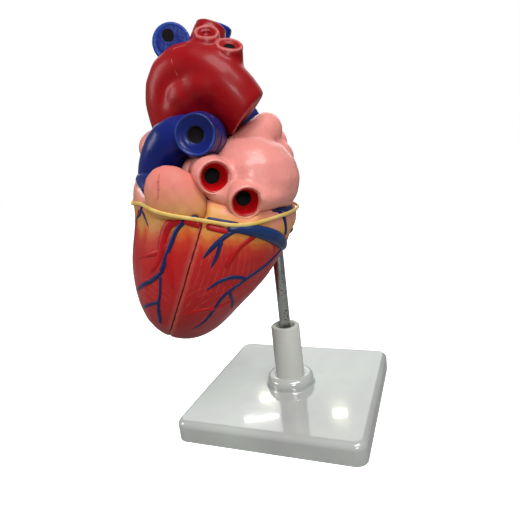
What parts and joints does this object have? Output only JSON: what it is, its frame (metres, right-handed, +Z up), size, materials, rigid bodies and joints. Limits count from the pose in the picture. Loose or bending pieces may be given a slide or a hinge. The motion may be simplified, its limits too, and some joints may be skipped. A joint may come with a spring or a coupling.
{
  "type": "human heart anatomy model",
  "caption": "Painted classroom heart on a steel rod and square base; the front wall lifts off along an oblique seam to show both ventricles and their valves.",
  "frame": {"origin": "middle of the square base's underside, on the surface it stands on", "axes": "+Z up along the rod, X along the base's front edge to the heart's back and right of the viewer, Y away from the side that shows the left auricle"},
  "size_m": [0.1478, 0.1297, 0.2568],
  "materials": {
    "base_white": "glossy injection-moulded plastic, white with a faint cool cloudiness",
    "sleeve_white": "satin moulded plastic, off-white",
    "rod_steel": "zinc-plated drawn rod with small dark specks",
    "heart_muscle": "painted PVC under gloss lacquer, muscle red with ochre fat near the groove",
    "atrium_pink": "painted PVC under gloss lacquer, salmon pink",
    "artery_red": "painted PVC under gloss lacquer, crimson",
    "lung_vein_red": "painted PVC under gloss lacquer, bright red",
    "lung_artery_blue": "painted PVC under gloss lacquer, navy blue",
    "hollow_vein_blue": "painted PVC under gloss lacquer, navy blue",
    "vein_blue": "painted PVC under gloss lacquer, dark violet blue",
    "valve_ivory": "soft PVC, painted ivory",
    "inner_muscle": "painted PVC, muscle red",
    "pin_ivory": "bare plastic, ivory",
    "socket_ivory": "bare plastic, ivory",
    "band_rubber": "natural rubber, translucent amber yellow"
  },
  "bodies": {
    "stand": {"base_plate": "base_white", "support_sleeve": "sleeve_white"},
    "rod": {"support_rod": "rod_steel"},
    "heart": {"aorta": "artery_red", "aortic_valve": "valve_ivory", "coronary_sinus": "vein_blue", "inferior_vena_cava": "hollow_vein_blue", "left_atrium": "atrium_pink", "left_papillary_muscles": "inner_muscle", "left_tendinous_cords": "valve_ivory", "lower_left_pulmonary_vein": "lung_vein_red", "lower_right_pulmonary_vein": "lung_vein_red", "mitral_valve": "valve_ivory", "pulmonary_trunk": "lung_artery_blue", "pulmonary_valve": "valve_ivory", "rear_heart_wall": "heart_muscle", "register_pins": "pin_ivory", "right_atrium": "atrium_pink", "right_auricle": "atrium_pink", "right_papillary_muscles": "inner_muscle", "right_tendinous_cords": "valve_ivory", "rod_socket": "socket_ivory", "rubber_band": "band_rubber", "superior_vena_cava": "hollow_vein_blue", "tricuspid_valve": "valve_ivory", "upper_left_pulmonary_vein": "lung_vein_red", "upper_right_pulmonary_vein": "lung_vein_red"},
    "front": {"front_heart_wall": "heart_muscle", "left_auricle": "atrium_pink"}
  },
  "joints": [
    {"name": "rod_swivel", "type": "hinge", "parent": "stand", "child": "rod", "pos_m": [0, 0, 0.06], "axis": [0, 0, 1], "continuous": true},
    {"name": "heart_lift", "type": "slide", "parent": "rod", "child": "heart", "axis": [0, 0, 1], "range_m": [0, 0.04]},
    {"name": "front_wall_slide", "type": "slide", "parent": "heart", "child": "front", "axis": [-0.8392, -0.3422, -0.4226], "range_m": [0, 0.055], "stiffness_N_per_m": 60, "springref_m": -0.03, "deforming": ["rubber_band"]}
  ]
}
